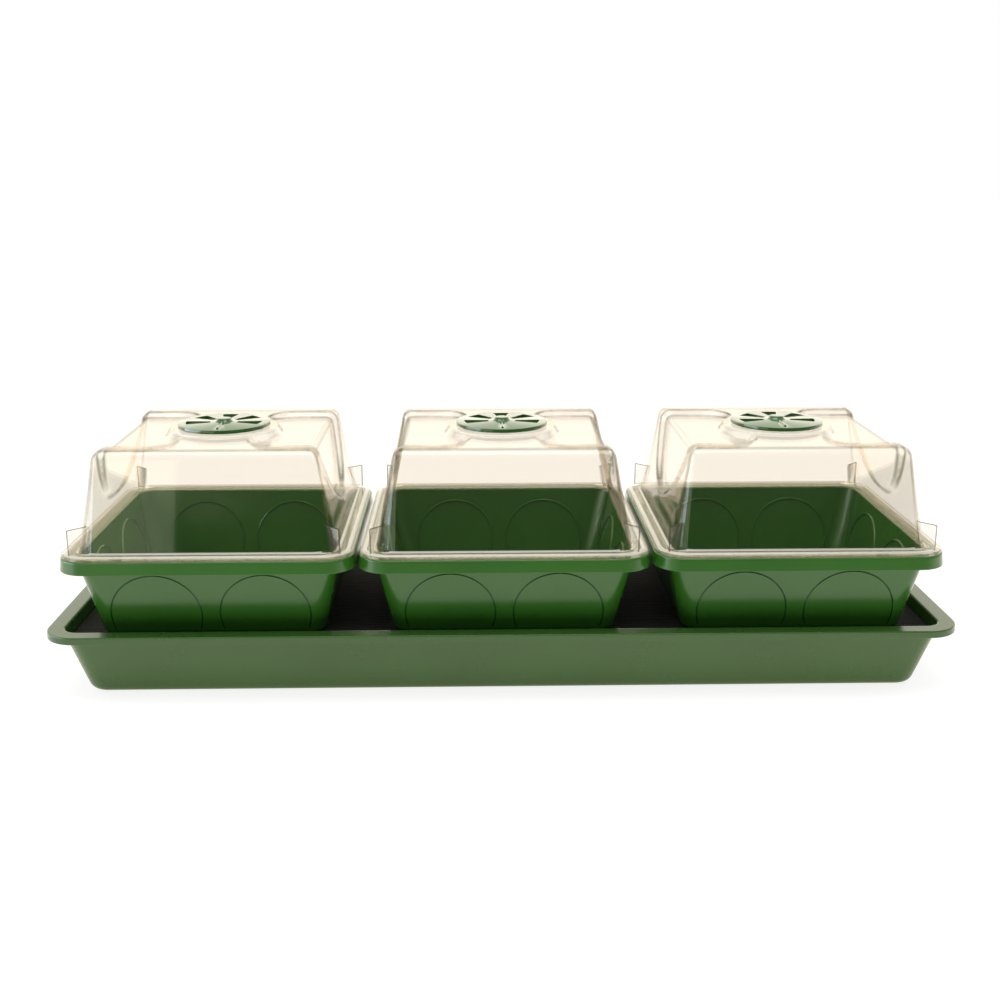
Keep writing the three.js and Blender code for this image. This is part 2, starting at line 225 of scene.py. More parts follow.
def merged(parts):
    """Several separate solids as one set of vertices and faces."""
    points, faces, start = [], [], 0
    for vertices, quads in parts:
        points.append(vertices)
        faces += [[i + start for i in face] for face in quads]
        start += len(vertices)
    return np.concatenate(points), faces


def moved(part, offset):
    return part[0] + np.array(offset, float), part[1]


def spun(part, quarter):
    """A solid turned about the upright axis by quarter turns."""
    cos, sin = ((1, 0), (0, 1), (-1, 0), (0, -1))[quarter % 4]
    return part[0] @ np.array([[cos, sin, 0], [-sin, cos, 0], [0, 0, 1]], float), part[1]


def to_object(name, part):
    mesh = bpy.data.meshes.new(name)
    mesh.from_pydata((part[0] * MM).tolist(), [], part[1])
    mesh.validate()
    made = bpy.data.objects.new(name, mesh)
    bpy.context.scene.collection.objects.link(made)
    return made


def combine(target, part, operation, solver="MANIFOLD"):
    """Joins a set of solids to the target's mesh, or cuts them out of it."""
    tool = to_object("tool", part)
    step = target.modifiers.new("step", "BOOLEAN")
    step.operation = operation
    step.solver = solver
    step.object = tool
    bpy.context.view_layer.update()
    seen = target.evaluated_get(bpy.context.evaluated_depsgraph_get())
    old = target.data
    result = bpy.data.meshes.new_from_object(seen)
    target.modifiers.clear()
    target.data = result
    bpy.data.meshes.remove(old)
    bpy.data.objects.remove(tool)


def finish_mesh(made, angle=32):
    """Smooth shading, with the turns sharper than that angle kept crisp."""
    made.data.shade_smooth()
    made.data.set_sharp_from_angle(angle=math.radians(angle))


def vectors(items, name):
    """A three-number property of all the items, such as every vertex's place."""
    values = np.zeros(len(items) * 3, np.float32)
    items.foreach_get(name, values)
    return values.reshape(-1, 3)


def face_data(mesh):
    """Normals and centres of the faces, the centres in millimetres."""
    return vectors(mesh.polygons, "normal"), vectors(mesh.polygons, "center") / MM


def store(mesh, name, domain, values):
    attribute = mesh.attributes.new(name, "FLOAT", domain)
    attribute.data.foreach_set("value", np.asarray(values, np.float32))


def settle(made, body, slot, *nodes, material=None):
    made.data.materials.clear()
    made.data.materials.append(material)
    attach(made, body)
    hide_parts(*nodes)


def copies(master, word, slot, node, material):
    """The master at each station, on the body of its own column."""
    for side in SIDES:
        made = master if side == "middle" else bpy.data.objects.new(f"{master.name}_{side}", master.data)
        if side != "middle":
            bpy.context.scene.collection.objects.link(made)
        made.location.x = STATION[side] * MM
        settle(made, f"{side}_{word}", slot, f"{node}_{side}", material=material)
    master.name = f"{master.name}_middle"


# ---- materials ----
def new_material(name):
    made = bpy.data.materials.new(name)
    made.use_nodes = True
    made.node_tree.nodes.clear()
    return made, made.node_tree.nodes, made.node_tree.links


def noise(nodes, links, scale, detail=3.0, stretch=(1, 1, 1)):
    place = nodes.new("ShaderNodeTexCoord")
    mapping = nodes.new("ShaderNodeMapping")
    mapping.inputs["Scale"].default_value = stretch
    texture = nodes.new("ShaderNodeTexNoise")
    texture.inputs["Scale"].default_value = scale
    texture.inputs["Detail"].default_value = detail
    links.new(place.outputs["Object"], mapping.inputs["Vector"])
    links.new(mapping.outputs["Vector"], texture.inputs["Vector"])
    return texture.outputs["Fac"]


def ramp(nodes, links, value, low, high, start=0.0, stop=1.0):
    """A value spread between two colours or two numbers."""
    if isinstance(low, tuple):
        made = nodes.new("ShaderNodeValToRGB")
        made.color_ramp.elements[0].position, made.color_ramp.elements[1].position = start, stop
        made.color_ramp.elements[0].color, made.color_ramp.elements[1].color = (*low, 1), (*high, 1)
        links.new(value, made.inputs["Fac"])
        return made.outputs["Color"]
    made = nodes.new("ShaderNodeMapRange")
    for name, number in (("From Min", start), ("From Max", stop), ("To Min", low), ("To Max", high)):
        made.inputs[name].default_value = number
    links.new(value, made.inputs["Value"])
    return made.outputs["Result"]


def bump(nodes, links, height, strength, distance):
    made = nodes.new("ShaderNodeBump")
    made.inputs["Strength"].default_value = strength
    made.inputs["Distance"].default_value = distance
    links.new(height, made.inputs["Height"])
    return made.outputs["Normal"]


def green_plastic(name, dark, light, roughness, coat, grain, groove_shade_bead_highlight=None):
    """Moulded polypropylene: colour drift, uneven gloss, fine grain, and a painted shade colour on marked
    grooves and a painted highlight colour on marked beads.
    """
    made, nodes, links = new_material(name)
    surface = nodes.new("ShaderNodeBsdfPrincipled")
    surface.inputs["Specular IOR Level"].default_value = 0.5
    surface.inputs["Coat Weight"].default_value = coat
    surface.inputs["Coat Roughness"].default_value = 0.12
    drift = noise(nodes, links, 9, 4)
    colour = ramp(nodes, links, drift, dark, light, 0.3, 0.7)
    # marked grooves (-1) get a painted shade colour, marked beads (1) a painted highlight colour
    if groove_shade_bead_highlight:
        mark = nodes.new("ShaderNodeAttribute")
        mark.attribute_name = "groove_shade_bead_highlight"
        for tint, low, high in ((groove_shade_bead_highlight[0], 0.0, -1.0), (groove_shade_bead_highlight[1], 0.0, 1.0)):
            blend = nodes.new("ShaderNodeMix")
            blend.data_type = "RGBA"
            blend.inputs["B"].default_value = (*tint, 1)
            share = ramp(nodes, links, mark.outputs["Fac"], 0.0, 1.0, low, high)
            links.new(share, blend.inputs["Factor"])
            links.new(colour, blend.inputs["A"])
            colour = blend.outputs["Result"]
    links.new(colour, surface.inputs["Base Color"])
    uneven = noise(nodes, links, 40, 3)
    gloss = ramp(nodes, links, uneven, roughness - 0.02, roughness + 0.03, 0.1, 0.9)
    links.new(gloss, surface.inputs["Roughness"])
    fine = noise(nodes, links, 1400, 2)
    links.new(bump(nodes, links, fine, grain, 0.00012), surface.inputs["Normal"])
    output = nodes.new("ShaderNodeOutputMaterial")
    links.new(surface.outputs["BSDF"], output.inputs["Surface"])
    return made


def felt_material():
    """Black capillary felt: matted fibres, a soft nap and faint lines along its length."""
    made, nodes, links = new_material("felt")
    surface = nodes.new("ShaderNodeBsdfPrincipled")
    surface.inputs["Roughness"].default_value = 0.95
    surface.inputs["Sheen Weight"].default_value = 0.05
    surface.inputs["Sheen Roughness"].default_value = 0.6
    surface.inputs["Specular IOR Level"].default_value = 0.2
    clumps = noise(nodes, links, 70, 6)
    colour = ramp(nodes, links, clumps, (0.002, 0.0018, 0.0014), (0.009, 0.0078, 0.0062), 0.3, 0.75)
    links.new(colour, surface.inputs["Base Color"])
    fibres = noise(nodes, links, 260, 8, (0.25, 1, 1))
    links.new(bump(nodes, links, fibres, 0.9, 0.0012), surface.inputs["Normal"])
    output = nodes.new("ShaderNodeOutputMaterial")
    links.new(surface.outputs["BSDF"], output.inputs["Surface"])
    return made


def maths(nodes, links, operation, *values):
    """A Math node, from numbers and sockets."""
    made = nodes.new("ShaderNodeMath")
    made.operation = operation
    for slot, value in zip(made.inputs, values):
        if isinstance(value, (int, float)):
            slot.default_value = value
        else:
            links.new(value, slot)
    return made.outputs[0]


# the clear wall's warm tint, and the colour of the painted shade on its bends and edges
CLEAR_TINT, CLEAR_PAINTED_SHADE = (0.978, 0.960, 0.931), (0.36, 0.35, 0.29)
FIN_PAINTED_REFLECTION = 0.08  # painted pale reflection of a fin, just above the limit under which a face is clean
CLEAN_LIMIT = 0.05


def clear_material():
    """Clear moulded styrene: a warm tint, painted dark lines in place of refraction where the wall turns
    away, gloss, and a painted pale reflection on the flange and fins.
    """
    made, nodes, links = new_material("clear_dome")
    facing = nodes.new("ShaderNodeLayerWeight")
    facing.inputs["Blend"].default_value = 0.5
    marks = {}
    for name in ("bend", "edge", "painted_pale_reflection"):
        node = nodes.new("ShaderNodeAttribute")
        node.attribute_name = name
        marks[name] = node.outputs["Fac"]
    away = facing.outputs["Facing"]
    # painted shade in place of refraction: dark bands on bends, a dark outline where clean faces turn away,
    # and dark tight folds
    off_half = maths(nodes, links, "ABSOLUTE", maths(nodes, links, "SUBTRACT", away, 0.5))
    band = ramp(nodes, links, off_half, 0.9, 0.0, 0.0, 0.17)
    on_bend = maths(nodes, links, "MULTIPLY", band, marks["bend"])
    clean = maths(nodes, links, "LESS_THAN", marks["painted_pale_reflection"], CLEAN_LIMIT)
    outline = maths(nodes, links, "MULTIPLY", ramp(nodes, links, away, 0.0, 0.9, 0.86, 1.0), clean)
    tight = ramp(nodes, links, marks["bend"], 0.0, 1.0, 0.6, 1.0)
    fold = maths(nodes, links, "MULTIPLY", tight, ramp(nodes, links, away, 0.0, 0.75, 0.74, 0.94))
    dark = marks["edge"]
    for line in (on_bend, outline, fold):
        dark = maths(nodes, links, "MAXIMUM", dark, line)
    through = nodes.new("ShaderNodeBsdfTransparent")
    links.new(ramp(nodes, links, dark, CLEAR_TINT, CLEAR_PAINTED_SHADE), through.inputs["Color"])
    gloss = nodes.new("ShaderNodeBsdfGlossy")
    gloss.inputs["Color"].default_value = (0.80, 0.77, 0.72, 1)
    gloss.inputs["Roughness"].default_value = 0.04
    ripple = noise(nodes, links, 18, 1)
    links.new(bump(nodes, links, ripple, 0.02, 0.0008), gloss.inputs["Normal"])
    grazing = ramp(nodes, links, maths(nodes, links, "POWER", away, 4.5), 0.035, 0.55)
    mirror = maths(nodes, links, "MULTIPLY", grazing, ramp(nodes, links, dark, 1.0, 0.15))
    mix = nodes.new("ShaderNodeMixShader")
    links.new(mirror, mix.inputs["Fac"])
    links.new(through.outputs["BSDF"], mix.inputs[1])
    links.new(gloss.outputs["BSDF"], mix.inputs[2])
    # a pale diffuse layer painted on the flange stripes and fins as pale reflection
    pale_reflection_layer = nodes.new("ShaderNodeBsdfPrincipled")
    pale_reflection_layer.inputs["Base Color"].default_value = (0.86, 0.84, 0.79, 1)
    pale_reflection_layer.inputs["Roughness"].default_value = 0.25
    haze = nodes.new("ShaderNodeMixShader")
    links.new(maths(nodes, links, "MULTIPLY", marks["painted_pale_reflection"], 0.6), haze.inputs["Fac"])
    links.new(mix.outputs["Shader"], haze.inputs[1])
    links.new(pale_reflection_layer.outputs["BSDF"], haze.inputs[2])
    output = nodes.new("ShaderNodeOutputMaterial")
    links.new(haze.outputs["Shader"], output.inputs["Surface"])
    return made


BASE_GREEN = green_plastic("base_green", (0.028, 0.092, 0.012), (0.034, 0.104, 0.015), 0.26, 0.0, 0.04)
# the tray's marked grooves get a painted shade colour, and its marked beads a painted highlight colour
TRAY_GREEN = green_plastic(
    "tray_green", (0.026, 0.122, 0.012), (0.032, 0.140, 0.015), 0.2, 0.0, 0.06,
    groove_shade_bead_highlight=((0.012, 0.075, 0.010), (0.170, 0.360, 0.100)),
)
VENT_GREEN = green_plastic("vent_green", (0.022, 0.105, 0.014), (0.028, 0.122, 0.018), 0.14, 0.6, 0.08)
DECK_GREEN = green_plastic("deck_green", (0.020, 0.024, 0.018), (0.028, 0.033, 0.025), 0.5, 0.0, 0.5)
FELT_BLACK = felt_material()
CLEAR = clear_material()


# ---- trays ----
def tray_section(half_x, half_y, radius, rim, lip, flare, wall, draft, foot_edge, low, high, edge):
    """Section of an open tray, from its underside out over the rim and in again to its floor."""
    mouth = (half_x - rim, half_y - rim, radius - rim)
    foot = (mouth[0] - draft, mouth[1] - draft, mouth[2] + FOOT_SPREAD)

    def at(outline, inward, z, reach=0.0):
        return (outline[0] - inward, outline[1] - inward, max(outline[2] - inward, LEAST_RADIUS), z, reach)

    top = (half_x, half_y, radius)
    rows = rounded(
        [
            at(foot, foot_edge + 10, low),
            at(foot, 0, low, foot_edge),
            at(mouth, 0, high - wall, 2.5),
            at(top, flare + wall, high - wall, 0.8),
            at(top, wall, high - lip, 0.3),
            at(top, 0, high - lip, 0.5),
            at(top, flare, high, edge),
            at(mouth, wall * MOUTH_WALL, high, 1.8),
            at(foot, wall, low + wall, foot_edge),
            at(foot, foot_edge + 10 + wall, low + wall),
        ]
    )
    return split_long(rows, ROW_STEP)


def arch_rods(half, low, centre_z, slope, top, radius, rod, inward, above, offset):
    """Thin rods along arches on a leaning wall that faces -Y, for cutting a groove or raising a bead."""
    lean = math.atan(slope)
    normal = np.array([0, -math.cos(lean), -math.sin(lean)])
    up = np.array([0, -math.sin(lean), math.cos(lean)])
    reach = half - slope * (top - centre_z)
    from_angle = math.asin(np.clip((low + above - centre_z) / (radius * math.cos(lean)), -1, 1))
    angle = np.linspace(from_angle, math.pi - from_angle, ARCH_POINTS)
    parts = []
    for side in (-offset, offset):
        centre = np.array([side, -reach, centre_z]) - normal * inward
        path = centre + radius * (np.cos(angle)[:, None] * np.array([1, 0, 0]) + np.sin(angle)[:, None] * up)
        parts.append(outward(shell(tube(path, np.tile(normal, (ARCH_POINTS, 1)), rod))))
    return parts


LINE_FACE = 1.2  # largest face of a groove or bead, in square millimetres
LINE_REACH = 0.8  # how far from its arch's middle line a groove or bead extends
WALL_MATCH = 0.003  # how closely a flat wall's normal keeps to the wall's lean


def flatten_walls_mark_painted_lines(made, leans, centre_z):
    """Flattens the leaning walls' shading, and marks the grooves outside as -1 for a painted shade colour
    and the beads inside as 1 for a painted highlight colour.
    """
    mesh = made.data
    normals, centres = face_data(mesh)
    small = np.array([face.area for face in mesh.polygons]) < LINE_FACE * MM * MM
    upright = np.min([np.abs(np.abs(normals[:, 2]) - math.sin(lean)) for lean in leans], 0) < WALL_MATCH
    on_wall = upright & (np.abs(normals[:, :2]).min(1) < WALL_MATCH)
    lean = leans[0]
    mesh.polygons.foreach_set("use_smooth", ~on_wall)
    value = np.zeros(len(centres))
    reach = (tray_high - tray_low)[:2] / 2 - TRAY_RIM
    for axis in (0, 1):
        half = reach[axis] - math.tan(lean) * (tray_high[2] - TRAY_WALL - centres[:, 2])
        depth = (half - np.abs(centres[:, axis])) * math.cos(lean)
        along = np.abs(centres[:, 1 - axis])
        for radius, offset, lift, low, high, mark in (
            (ARCH_RADIUS, ARCH_OFFSET, 0, -0.3, 0.8, -1),
            (BEAD_RADIUS, BEAD_OFFSET, BEAD_RAISE, TRAY_WALL - 0.3, 3, 1),
        ):
            up = (centres[:, 2] - centre_z - lift) / math.cos(lean)
            near = np.abs(np.hypot(along - offset, up) - radius) < LINE_REACH
            in_layer = (depth > low) & (depth < high) & (centres[:, 2] < tray_high[2] - TRAY_SKIRT)
            value[near & small & ~on_wall & in_layer] = mark
    store(mesh, "groove_shade_bead_highlight", "FACE", value)


def outward(part):
    """The same solid with its faces turned the other way round."""
    return part[0], [face[::-1] for face in part[1]]


def all_round(build):
    """What build makes for a half depth, repeated on the four walls."""
    parts = []
    for quarter, half in enumerate((tray_high[1], tray_high[0], tray_high[1], tray_high[0])):
        parts += [spun(part, quarter) for part in build(half - TRAY_RIM)]
    return parts


def seed_tray():
    centre = (tray_high + tray_low) / 2
    section = tray_section(
        tray_high[0] - centre[0], tray_high[1], TRAY_RADIUS, TRAY_RIM, TRAY_SKIRT, TRAY_FLARE, TRAY_WALL,
        TRAY_DRAFT, TRAY_FOOT_EDGE, tray_low[2], tray_high[2], TRAY_EDGE,
    )
    made = to_object("tray_shell", shell(rings(section, MOUTH_STEPS, 30, 30)))
    outside = TRAY_DRAFT / (tray_high[2] - TRAY_WALL - tray_low[2])
    inside = (TRAY_DRAFT + MOUTH_TAPER * TRAY_WALL) / (tray_high[2] - TRAY_WALL - tray_low[2])
    centre_z = tray_high[2] - TRAY_SKIRT - ARCH_BELOW - ARCH_RADIUS

    def grooves(half):
        top = tray_high[2] - TRAY_WALL
        return arch_rods(
            half, tray_low[2], centre_z, outside, top, ARCH_RADIUS, GROOVE_ROD, GROOVE_PROUD,
            ARCH_START, ARCH_OFFSET,
        )

    def beads(half):
        return arch_rods(
            half - MOUTH_WALL * TRAY_WALL, tray_low[2], centre_z + BEAD_RAISE, inside, tray_high[2],
            BEAD_RADIUS, BEAD_ROD, BEAD_SUNK, TRAY_WALL + 1.2, BEAD_OFFSET,
        )

    combine(made, merged(all_round(grooves)), "DIFFERENCE", "EXACT")
    combine(made, merged(all_round(beads)), "UNION", "EXACT")
    drill = shell(turned([(HOLE_RADIUS, tray_low[2] - 1), (HOLE_RADIUS, tray_low[2] + 2 * TRAY_WALL)], 32))
    places = [(i * HOLE_PITCH, j * HOLE_PITCH, 0) for i in (-1, 0, 1) for j in (-1, 0, 1)]
    combine(made, merged([moved(drill, p) for p in places]), "DIFFERENCE", "EXACT")
    finish_mesh(made)
    flatten_walls_mark_painted_lines(made, (math.atan(outside), math.atan(inside)), centre_z)
    copies(made, "tray", "tray_green", "seed_tray", TRAY_GREEN)


def water_tray():
    section = tray_section(
        base_high[0], base_high[1], BASE_RADIUS, BASE_RIM, BASE_LIP, BASE_FLARE, BASE_WALL,
        BASE_DRAFT, BASE_FOOT_EDGE, base_low[2], base_high[2], BASE_EDGE,
    )
    made = to_object("water_tray", shell(rings(section, MOUTH_STEPS, 72, 24)))
    finish_mesh(made)
    settle(made, "base", "base_green", "base_tray", material=BASE_GREEN)


# ---- platform ----
def platform():
    half_x, half_y = deck_high[:2]
    top, under = deck_high[2], deck_high[2] - DECK_PLATE
    border = (half_x - DECK_BORDER, half_y - DECK_BORDER, DECK_RADIUS - DECK_BORDER)
    section = rounded(
        [
            (*border, under),
            (half_x, half_y, DECK_RADIUS, under, DECK_EDGE),
            (half_x, half_y, DECK_RADIUS, top, DECK_EDGE),
            (*border, top),
        ],
        4,
    )
    made = to_object("support_deck", shell(rings(section, 12)))
    low = deck_low[2]
    spots = [(x, y, 0) for x in FOOT_COLUMNS for y in FOOT_ROWS]
    foot = shell(turned([(FOOT_BOTTOM - 1, low), (FOOT_BOTTOM, low + 1), (FOOT_TOP, top - 0.5)], 48))
    cavity = [(FOOT_BOTTOM - FOOT_WALL, low + FOOT_WALL), (FOOT_TOP - FOOT_WALL, top - 1)]
    hollow = shell(turned([*cavity, (FOOT_TOP - 1, top + 1)], 48))
    combine(made, merged([moved(foot, p) for p in spots]), "UNION")
    combine(made, merged([moved(hollow, p) for p in spots]), "DIFFERENCE")
    slot_end = FLAP_WIDTH / 2 + SLOT_END_GAP
    slot = rings([(SLOT_HALF_WIDTH, slot_end, SLOT_RADIUS, z) for z in (under - 2, top + 2)], 8)
    combine(made, merged([moved(shell(slot), (sign * FLAP_X, 0, 0)) for sign in (-1, 1)]), "DIFFERENCE")
    finish_mesh(made)
    settle(made, "platform", "platform_dark", "support_platform", material=DECK_GREEN)


# ---- felt mat ----
def divided(marks):
    """Places through all the marks, about one mesh cell apart."""
    runs = [np.linspace(a, b, round((b - a) / FELT_CELL) + 1) for a, b in zip(marks, marks[1:])]
    return np.unique(np.concatenate(runs))


def felt_mat():
    """One sheet with a flap cut near each end and folded down through the deck, then thickened."""
    half_x, half_y = mat_high[:2]
    inner = FLAP_X - FELT / 2 - FLAP_LENGTH
    xs = divided([-half_x, -FLAP_X, -inner, inner, FLAP_X, half_x])
    ys = divided([-half_y, -FLAP_WIDTH / 2, FLAP_WIDTH / 2, half_y])
    top = mat_high[2]
    grid = {}
    points, faces = [], []

    def point(x, y, z):
        key = (round(x, 3), round(y, 3), round(z, 3))
        if key not in grid:
            grid[key] = len(points)
            points.append(key)
        return grid[key]

    for x0, x1 in zip(xs, xs[1:]):
        for y0, y1 in zip(ys, ys[1:]):
            middle_x, middle_y = abs(x0 + x1) / 2, abs(y0 + y1) / 2
            if inner < middle_x < FLAP_X and middle_y < FLAP_WIDTH / 2:
                continue
            faces.append([point(x0, y0, top), point(x1, y0, top), point(x1, y1, top), point(x0, y1, top)])
    bend = FELT + 0.5
    fold = [(0, 0)]
    fold += [(bend * math.sin(a), -bend + bend * math.cos(a)) for a in np.radians((25, 50, 75, 90))]
    fold += [(bend, z) for z in np.linspace(-bend, mat_low[2] - top, 10)[1:]]
    flap_ys = ys[np.abs(ys) <= FLAP_WIDTH / 2 + 0.001]
    for sign in (-1, 1):
        for (u0, v0), (u1, v1) in zip(fold, fold[1:]):
            for y0, y1 in zip(flap_ys, flap_ys[1:]):
                (xa, za), (xb, zb) = ((sign * (FLAP_X - u), top + v) for u, v in ((u0, v0), (u1, v1)))
                quad = [point(xa, y0, za), point(xa, y1, za), point(xb, y1, zb), point(xb, y0, zb)]
                faces.append(quad if sign > 0 else quad[::-1])
    points = np.array(points, float)
    over_x = np.abs(points[:, 0]) - (half_x - DECK_RADIUS)
    over_y = np.abs(points[:, 1]) - (half_y - DECK_RADIUS)
    corner = (over_x > 0) & (over_y > 0)
    u, v = over_x[corner], over_y[corner]
    share = np.maximum(u, v) / np.hypot(u, v)
    points[corner, 0] = np.sign(points[corner, 0]) * (half_x - DECK_RADIUS + u * share)
    points[corner, 1] = np.sign(points[corner, 1]) * (half_y - DECK_RADIUS + v * share)
    made = to_object("capillary_felt", (points, faces))
    thicken = made.modifiers.new("thickness", "SOLIDIFY")
    thicken.thickness = FELT * MM
    thicken.offset = -1
    bpy.context.view_layer.update()
    seen = made.evaluated_get(bpy.context.evaluated_depsgraph_get())
    made.data = bpy.data.meshes.new_from_object(seen)
    made.modifiers.clear()
    finish_mesh(made, 50)
    settle(made, "mat", "mat_black", "capillary_mat", material=FELT_BLACK)


# ---- dome ----
def dome_rows():
    """Section of the dome's outer face from the flange to the flat top, and the wall's first row."""
    low = dome_low[2]
    top = dome_high[2] - BOSS_RISE
    half_x, half_y = (dome_high - dome_low)[:2] / 2
    step = low + FLANGE

    def at(inward, z, reach=0.0):
        radius = FLANGE_RADIUS + (DOME_CORNER - FLANGE_RADIUS) * min(inward / FLANGE_WIDTH, 1)
        return (half_x - inward, half_y - inward, radius, z, reach)

    def wall(z, reach=0.0):
        back = math.tan(DOME_LEAN) * (z - step)
        inward = FLANGE_WIDTH + back
        return (half_x - inward, half_y - inward, max(DOME_CORNER - back, 1), z, reach)

    flange = rounded(
        [
            at(FLANGE_WIDTH + DOME_WALL - 0.1, low),
            at(0, low, 0.3),
            at(0, step - 0.2, 0.7),
            at(RIDGE_AT - 1.8, step - 0.2, 0.4),
            at(RIDGE_AT - 0.8, step + RIDGE_RISE, 0.5),
            at(RIDGE_AT + 1.0, step + RIDGE_RISE, 0.5),
            at(RIDGE_AT + 2.0, step, 0.4),
            at(FLANGE_WIDTH, step, 2.2),
            wall(step + 8),
        ],
        5,
    )
    tangent = DOME_EDGE * math.tan((math.pi / 2 - DOME_LEAN) / 2)
    corner = FLANGE_WIDTH + math.tan(DOME_LEAN) * (top - step) + tangent
    wall_top = top - DOME_EDGE + DOME_EDGE * math.sin(DOME_LEAN)
    wall_rows = [wall(z)[:4] for z in np.arange(step + 10, wall_top - 1, 2.0)]
    edge_rows = []
    for angle in np.linspace(DOME_LEAN, math.pi / 2, 10):
        inward = corner - DOME_EDGE * math.cos(angle)
        radius = max(DOME_CORNER - (inward - FLANGE_WIDTH), 1)
        height = top - DOME_EDGE + DOME_EDGE * math.sin(angle)
        edge_rows.append((half_x - inward, half_y - inward, radius, height))
    first_wall = len(flange) - 1
    return np.array([*flange, *wall_rows, *edge_rows]), first_wall, top


def smoothstep(x):
    x = np.clip(x, 0, 1)
    return x * x * (3 - 2 * x)


def grid_normals(grid):
    along = np.gradient(grid, axis=0)
    around = np.roll(grid, -1, 1) - np.roll(grid, 1, 1)
    normal = np.cross(around, along)
    return normal / np.maximum(np.linalg.norm(normal, axis=-1), 1e-9)[..., None]


def recess_depth(grid, top):
    """How far each point sinks: a hollow each side of the neck, ending on the end wall as a rounded U."""
    x, y, z = np.moveaxis(grid, -1, 0)
    spread = np.abs(y) / RECESS_HALF
    bottom = dome_low[2] + RECESS_LOW
    rise = top - DOME_EDGE - bottom
    spread = np.minimum(spread, RECESS_SPREAD)
    floor = bottom + rise * spread**RECESS_POWER
    slope = rise * RECESS_POWER / RECESS_HALF * spread ** (RECESS_POWER - 1)
    over = (z - floor) / np.sqrt(1 + slope**2)
    across = np.minimum(RECESS_HALF - np.abs(y), over)
    beside = np.abs(x) - NECK
    short = np.hypot(np.maximum(RECESS_FILLET - across, 0), np.maximum(RECESS_FILLET - beside, 0))
    clear = (across > RECESS_FILLET) & (beside > RECESS_FILLET)
    inside = np.where(clear, np.minimum(across, beside), RECESS_FILLET - short)
    boss = np.hypot(x, y) - BOSS_RADIUS
    return RECESS_DEPTH * smoothstep(inside / RECESS_EASE) * smoothstep(boss / BOSS_EASE)


def dome_mesh():
    """Rings up the outside, over the boss to the vent's hole, then under the boss and down the inside."""
    rows, first_wall, top = dome_rows()
    outer = rings(rows, 12, 84, 84)
    edge = outer[-1]
    angle = np.arctan2(edge[:, 1], edge[:, 0])
    boss_foot = circle(angle, BOSS_RADIUS + 0.6, top)
    shares = np.concatenate([np.linspace(0, FINE_FROM, 18)[1:], np.linspace(FINE_FROM, 1, 6)[1:]])
    flat = [edge * (1 - share) + boss_foot * share for share in shares]
    for ring in flat:
        ring[:, 2] = top
    high = dome_high[2]
    hole = STEM + GAP
    over = [
        (BOSS_RADIUS, top + 0.25), (BOSS_RADIUS - 0.15, top + 0.7), (BOSS_RADIUS - 0.3, high - 0.6),
        (BOSS_RADIUS - 0.6, high - 0.2), (BOSS_RADIUS - 1.1, high), (BOSS_RADIUS - 2.5, high),
        (36, high), (20, high), (hole + 0.4, high), (hole, high - 0.4),
    ]
    boss = [circle(angle, radius, z) for radius, z in over]
    outer = np.concatenate([outer, np.array(flat), np.array(boss)])
    outer = outer - grid_normals(outer) * recess_depth(outer, top)[..., None]
    last = len(rows) + len(flat)
    inner = (outer - DOME_WALL * grid_normals(outer))[first_wall:last]
    plate = high - BOSS_PLATE
    under = [
        (hole, plate), (20, plate), (36, plate), (BOSS_RADIUS - 3.6, plate),
        (BOSS_RADIUS - 2.4, plate - 0.5), (BOSS_RADIUS - 1.7, top - 1.4),
    ]
    underside = [circle(angle, radius, z) for radius, z in under]
    return np.concatenate([outer, np.array(underside), inner[::-1]])


def fin_parts():
    """Thin upright fins on the flange, square to each corner, with their roots inside the wall."""
    corner = (dome_high - dome_low)[:2] / 2 - FLANGE_WIDTH - DOME_CORNER + DOME_CORNER * math.sqrt(0.5)
    step = dome_low[2] + FLANGE
    outline = np.array([
        (FIN_ROOT, FIN_SUNK), (FIN_LENGTH, FIN_SUNK),
        (FIN_LENGTH, FIN_HEIGHT - FIN_CORNER), (FIN_LENGTH - FIN_CORNER, FIN_HEIGHT),
        (FIN_ROOT - math.tan(DOME_LEAN) * FIN_HEIGHT, FIN_HEIGHT),
    ])
    middle = outline.mean(0)
    parts = []
    for sign_x, sign_y in ((-1, -1), (-1, 1), (1, -1), (1, 1)):
        out = np.array([sign_x, sign_y, 0]) * math.sqrt(0.5)
        side = np.cross([0, 0, 1], out)
        foot = np.array([sign_x * corner[0], sign_y * corner[1], step])
        layers = []
        for inward, across in ((FIN_BEVEL, -1), (0, -0.7), (0, 0.7), (FIN_BEVEL, 1)):
            layer = middle + (outline - middle) * (1 - inward / FIN_SHRINK)
            sideways = foot + side * across * FIN_THICK / 2
            layers.append([sideways + out * u + np.array([0, 0, v]) for u, v in layer])
        parts.append(outward(shell(np.array(layers))))
    return parts


def wedge_parts(low, high):
    """The openings shared by the boss and the vent disc."""
    parts = []
    for middle in OPENINGS:
        angle = np.radians(np.linspace(middle - OPENING_ANGLE / 2, middle + OPENING_ANGLE / 2, 9))
        far, near = (circle(angle, radius, 0)[:, :2] for radius in (OPENING_OUT, OPENING_IN))
        parts.append(prism(np.concatenate([far, near[::-1]]), low, high))
    return parts


def past_corner(places):
    """How far each place lies beyond the wall's rounded corner, along the line in which the fins stand."""
    half = (dome_high - dome_low)[:2] / 2
    root = half - FLANGE_WIDTH - DOME_CORNER * (1 - math.sqrt(0.5))
    return (np.abs(places[:, :2]) - root) @ np.array([1, 1]) * math.sqrt(0.5)


